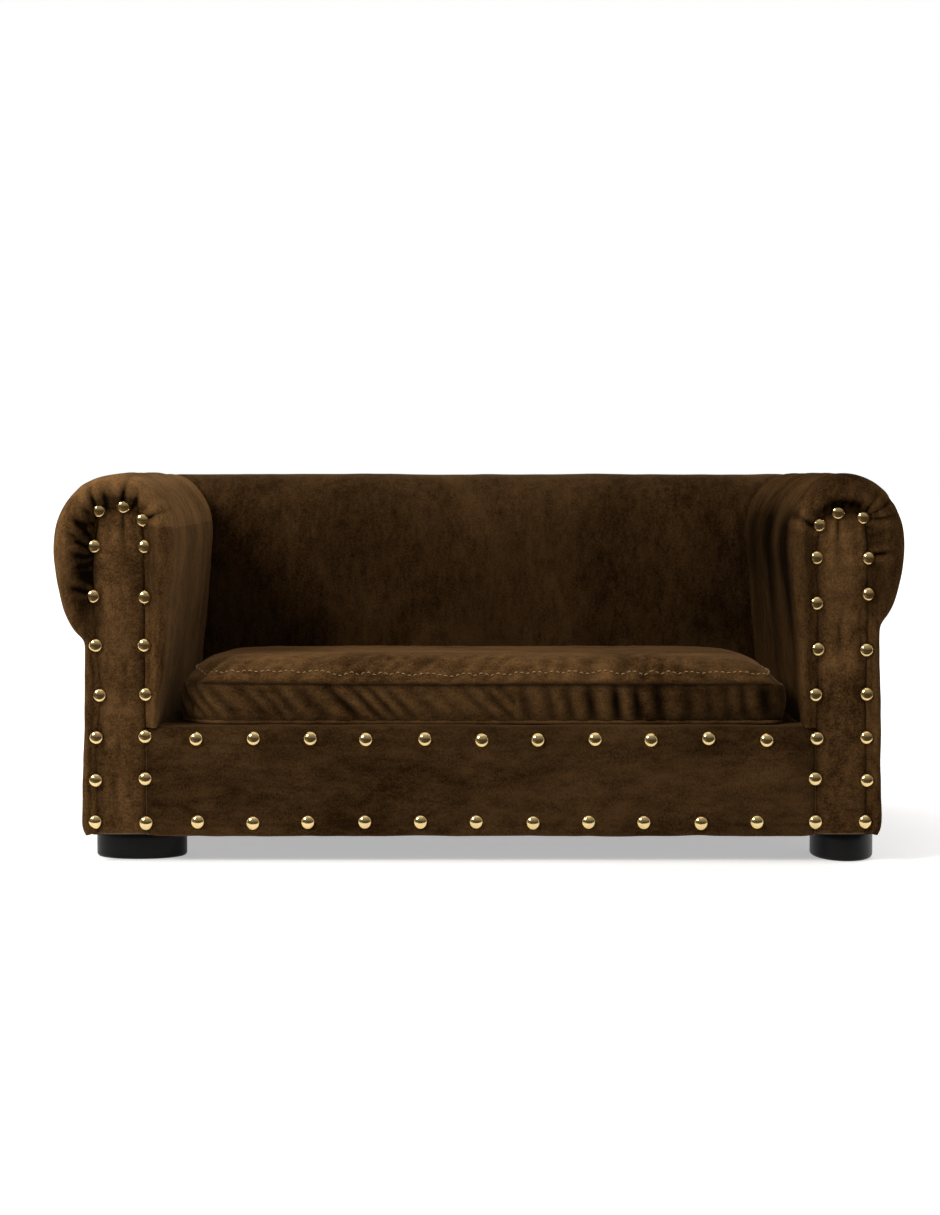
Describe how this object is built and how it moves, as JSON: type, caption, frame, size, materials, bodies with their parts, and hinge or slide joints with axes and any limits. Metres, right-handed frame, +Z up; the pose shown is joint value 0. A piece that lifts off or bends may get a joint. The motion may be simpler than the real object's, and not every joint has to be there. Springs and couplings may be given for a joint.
{
  "type": "pet sofa",
  "caption": "Small upholstered pet sofa with rolled arms and back, brass nail trim, oval feet and a loose boxed seat cushion that lifts out.",
  "frame": {"origin": "on the floor, under the centre of the sofa's outline", "axes": "+X to the right for someone facing the front, -Y towards that person, +Z up"},
  "size_m": [0.7006, 0.417, 0.3213],
  "materials": {
    "velvet": "matte",
    "cushion_velvet": "matte",
    "padding": "matte",
    "cushion_foam": "matte",
    "frame_wood": "matte",
    "nail_brass": "polished",
    "foot_black": "satin",
    "bolt_steel": "satin",
    "dust_cloth": "matte",
    "zip_tape": "matte",
    "zip_metal": "satin"
  },
  "bodies": {
    "sofa": {"arm_cover_left": "velvet", "arm_cover_right": "velvet", "arm_foam_left": "padding", "arm_foam_right": "padding", "arm_front_panel_left": "velvet", "arm_front_panel_right": "velvet", "arm_front_post_left": "frame_wood", "arm_front_post_right": "frame_wood", "arm_inner_board_left": "frame_wood", "arm_inner_board_right": "frame_wood", "arm_nails_left": "nail_brass", "arm_nails_right": "nail_brass", "arm_outer_board_left": "frame_wood", "arm_outer_board_right": "frame_wood", "arm_top_slat_left": "frame_wood", "arm_top_slat_right": "frame_wood", "back_board": "frame_wood", "back_cover": "velvet", "back_foam": "padding", "back_outer_board": "frame_wood", "back_top_slat": "frame_wood", "centre_rail": "frame_wood", "corner_block_front_left": "frame_wood", "corner_block_front_right": "frame_wood", "corner_block_rear_left": "frame_wood", "corner_block_rear_right": "frame_wood", "deck_board": "frame_wood", "deck_cover": "velvet", "deck_wadding": "padding", "dust_cover": "dust_cloth", "foot_bolt_front_left": "bolt_steel", "foot_bolt_front_right": "bolt_steel", "foot_bolt_rear_left": "bolt_steel", "foot_bolt_rear_right": "bolt_steel", "foot_front_left": "foot_black", "foot_front_right": "foot_black", "foot_rear_left": "foot_black", "foot_rear_right": "foot_black", "front_rail_board": "frame_wood", "front_rail_cover": "velvet", "outer_back_panel": "velvet", "rail_nails_bottom": "nail_brass", "rail_nails_top": "nail_brass", "rail_wadding": "padding", "rear_corner_post_left": "frame_wood", "rear_corner_post_right": "frame_wood", "rear_rail_board": "frame_wood", "side_rail_left": "frame_wood", "side_rail_right": "frame_wood"},
    "cushion": {"cushion_core": "cushion_foam", "cushion_top_panel": "cushion_velvet", "cushion_boxing": "cushion_velvet", "cushion_bottom_panel": "cushion_velvet", "cushion_zip_strip": "zip_tape"},
    "zip_slider": {"zip_slider": "zip_metal"}
  },
  "joints": [
    {"name": "cushion_lift", "type": "slide", "parent": "sofa", "child": "cushion", "axis": [0, 0, 1], "range_m": [0, 0.25]},
    {"name": "zip_slide", "type": "slide", "parent": "cushion", "child": "zip_slider", "axis": [1, 0, 0], "range_m": [0, 0.43]}
  ]
}
